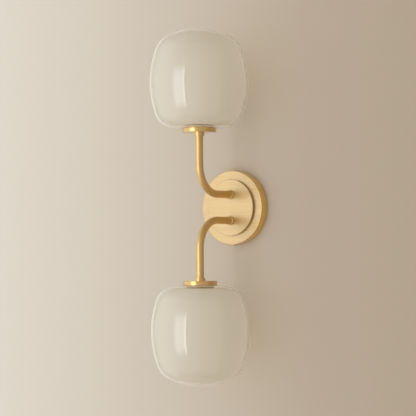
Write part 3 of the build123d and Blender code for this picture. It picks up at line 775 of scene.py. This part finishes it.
def with_hole(corners, radius):
    """An upright rectangle with a round hole at the origin: its points and its faces."""
    low_x, level, low_z = corners[0]
    high_x, level, high_z = corners[2]
    points, faces = [], []
    for i in range(HOLE_TURNS):
        angle = 2 * math.pi * i / HOLE_TURNS
        across, up = math.cos(angle), math.sin(angle)
        reach = min(edge_reach(low_x, high_x, across), edge_reach(low_z, high_z, up))
        points.append((radius * across, level, radius * up))
        points.append((reach * across, level, reach * up))
        j = (i + 1) % HOLE_TURNS
        faces.append((2 * i + 1, 2 * j + 1, 2 * j, 2 * i))
    return points, faces


def stage_plane(name, corners, stops, hole=None):
    """A plain matt surface of the room, seen only from its front, its colour fading along X.
    On the wall this fade is painted light: pale at the left, darker at the right.
    """
    mesh = bpy.data.meshes.new(name)
    points, faces = with_hole(corners, hole) if hole else (corners, [(0, 1, 2, 3)])
    mesh.from_pydata(points, [], faces)
    material, nodes, shader = principled(name)
    place = nodes.add("ShaderNodeTexCoord").outputs["Object"]
    across = nodes.add("ShaderNodeSeparateXYZ", Vector=place).outputs["X"]
    fade = nodes.span(across, PAINT_LEFT, PAINT_RIGHT)
    nodes.put(shader, "Base Color", nodes.ramp(fade, stops))
    nodes.put(shader, "Roughness", 0.9)
    nodes.put(shader, "Specular IOR Level", 0.1)
    hidden = nodes.add("ShaderNodeBsdfTransparent").outputs[0]
    back = nodes.add("ShaderNodeNewGeometry").outputs["Backfacing"]
    nodes.surface(nodes.blend(back, shader.outputs[0], hidden))
    new_object(name, mesh, material)


HOLE_TURNS = 64
NO_SHARE = 1e-9
PAINT_LEFT = -0.6
PAINT_RIGHT = 0.4
# Painted light: the wall's colour fades from pale at the left to darker at the right, in place of
# light falling off across it.
WALL_PAINTED_LIGHT = (
    (0.0, (0.750, 0.705, 0.630)),
    (0.25, (0.692, 0.632, 0.550)),
    (0.5, (0.595, 0.527, 0.437)),
    (0.75, (0.487, 0.411, 0.329)),
    (1.0, (0.440, 0.368, 0.281)),
)
FLOOR_PAINT = ((0.0, (0.88, 0.86, 0.82)), (1.0, (0.82, 0.79, 0.74)))
ROOM = 6.0
FLOOR_HEIGHT = -4.0
FLOOR_REACH = 2.5
WALL_BACK = 0.4 * MM
BOX_HOLE = 60.0 * MM
stage_plane(
    "wall",
    [
        (-ROOM, WALL_BACK, FLOOR_HEIGHT),
        (ROOM, WALL_BACK, FLOOR_HEIGHT),
        (ROOM, WALL_BACK, ROOM),
        (-ROOM, WALL_BACK, ROOM),
    ],
    WALL_PAINTED_LIGHT,
    BOX_HOLE,
)
stage_plane(
    "floor",
    [
        (-FLOOR_REACH, -FLOOR_REACH, FLOOR_HEIGHT),
        (FLOOR_REACH, -FLOOR_REACH, FLOOR_HEIGHT),
        (FLOOR_REACH, FLOOR_REACH, FLOOR_HEIGHT),
        (-FLOOR_REACH, FLOOR_REACH, FLOOR_HEIGHT),
    ],
    FLOOR_PAINT,
)

# ---------------------------------------------------------------------- lights


def direction(azimuth, elevation):
    """Unit vector from the object, in degrees: azimuth 0 is towards -Y and 90 towards +X."""
    a, e = math.radians(azimuth), math.radians(elevation)
    return Vector((math.sin(a) * math.cos(e), -math.cos(a) * math.cos(e), math.sin(e)))


def window(nodes, angle, opens, full, fades, closes):
    """A soft-edged stretch of angles in degrees: 0 outside it and 1 within it."""
    rise = nodes.step(angle, opens, full)
    fall = nodes.step(angle, closes, fades)
    return nodes.math("MULTIPLY", rise, fall)


def room_light():
    """A pale room all round: a large soft box just left of the object with a bright strip at its
    right edge, a broad window further left, and a dimmer, warmer right side. The camera sees a
    plain backdrop in its place, also through the glass."""
    world = bpy.data.worlds.new("room_light")
    world.use_nodes = True
    nodes = Nodes(world.node_tree)
    toward = nodes.add("ShaderNodeTexCoord").outputs["Generated"]
    parts = nodes.add("ShaderNodeSeparateXYZ", Vector=toward).outputs
    forward = nodes.math("MULTIPLY", parts["Y"], -1.0)
    turn = nodes.math("ARCTAN2", parts["X"], forward)
    azimuth = nodes.math("MULTIPLY", turn, DEGREES)
    elevation = nodes.math("MULTIPLY", nodes.math("ARCSINE", parts["Z"]), DEGREES)

    around = nodes.span(azimuth, -180.0, 180.0)
    lit = nodes.ramp(around, [((angle + 180) / 360, colour) for angle, colour in ROOM_STOPS])
    upward = nodes.span(elevation, -90.0, 90.0)
    ceiling = [((angle + 90) / 180, (grey, grey, grey)) for angle, grey in CEILING_STOPS]
    lit = nodes.mix(1.0, lit, nodes.ramp(upward, ceiling), "MULTIPLY")
    for spread, colour in ((BOX_AZIMUTH, BOX_COLOUR), (STRIP_AZIMUTH, STRIP_COLOUR)):
        across = window(nodes, azimuth, *spread)
        inside = nodes.math("MULTIPLY", across, window(nodes, elevation, *BOX_ELEVATION))
        lit = nodes.mix(inside, lit, (*colour, 1))
    path = nodes.add("ShaderNodeLightPath").outputs
    seen = nodes.math("MAXIMUM", path["Is Camera Ray"], path["Is Transmission Ray"])
    lit = nodes.mix(seen, lit, (*BACKDROP, 1))
    background = world.node_tree.nodes["Background"]
    nodes.put(background, "Color", lit)
    nodes.put(background, "Strength", ROOM_STRENGTH)
    bpy.context.scene.world = world


DEGREES = 180 / math.pi
ROOM_STOPS = (
    (-180, (0.97, 0.96, 0.93)),
    (-88, (0.97, 0.96, 0.93)),
    (-76, (1.16, 1.15, 1.12)),
    (-42, (1.18, 1.17, 1.14)),
    (-33, (1.13, 1.12, 1.08)),
    (-24, (0.91, 0.89, 0.85)),
    (6, (0.83, 0.80, 0.755)),
    (30, (0.74, 0.69, 0.62)),
    (60, (0.62, 0.57, 0.49)),
    (110, (0.62, 0.56, 0.48)),
    (179, (0.97, 0.96, 0.93)),
)
ROOM_STRENGTH = 0.975
CEILING_STOPS = ((-90, 1.0), (25, 1.0), (45, 0.75), (60, 0.6), (90, 0.55))
BACKDROP = (0.74, 0.70, 0.64)
BOX_AZIMUTH = (-32, -18, 3.4, 4.2)
BOX_ELEVATION = (-31, -17, 9, 24)
BOX_COLOUR = (2.6, 2.64, 2.78)
STRIP_AZIMUTH = (0.2, 0.9, 3.4, 4.2)
STRIP_COLOUR = (4.3, 4.3, 4.4)
room_light()

# ---------------------------------------------------------------------- camera

CAMERA_AZIMUTH = 37.63
CAMERA_ELEVATION = -1.7
CAMERA_DISTANCE = 2.6
CAMERA_TARGET = Vector((0, -60 * MM, 0))
CAMERA_ROLL = math.radians(-0.38)
SENSOR_WIDTH = 36.0
FRAME_WIDTH = 416
FOCAL_PIXELS = 1541.6
TARGET_PIXEL = (216.03, 207.17)

camera_data = bpy.data.cameras.new("camera")
camera_data.sensor_width = SENSOR_WIDTH
camera_data.lens = SENSOR_WIDTH * FOCAL_PIXELS / FRAME_WIDTH
camera_data.shift_x = (FRAME_WIDTH / 2 - TARGET_PIXEL[0]) / FRAME_WIDTH
camera_data.shift_y = (TARGET_PIXEL[1] - FRAME_WIDTH / 2) / FRAME_WIDTH
camera = new_object("camera", camera_data)
back = direction(CAMERA_AZIMUTH, CAMERA_ELEVATION)
camera.location = CAMERA_TARGET + back * CAMERA_DISTANCE
aim = (-back).to_track_quat("-Z", "Y").to_matrix() @ Euler((0, 0, CAMERA_ROLL)).to_matrix()
camera.rotation_mode = "QUATERNION"
camera.rotation_quaternion = aim.to_quaternion()
bpy.context.scene.camera = camera
bpy.context.scene.view_settings.view_transform = "Standard"
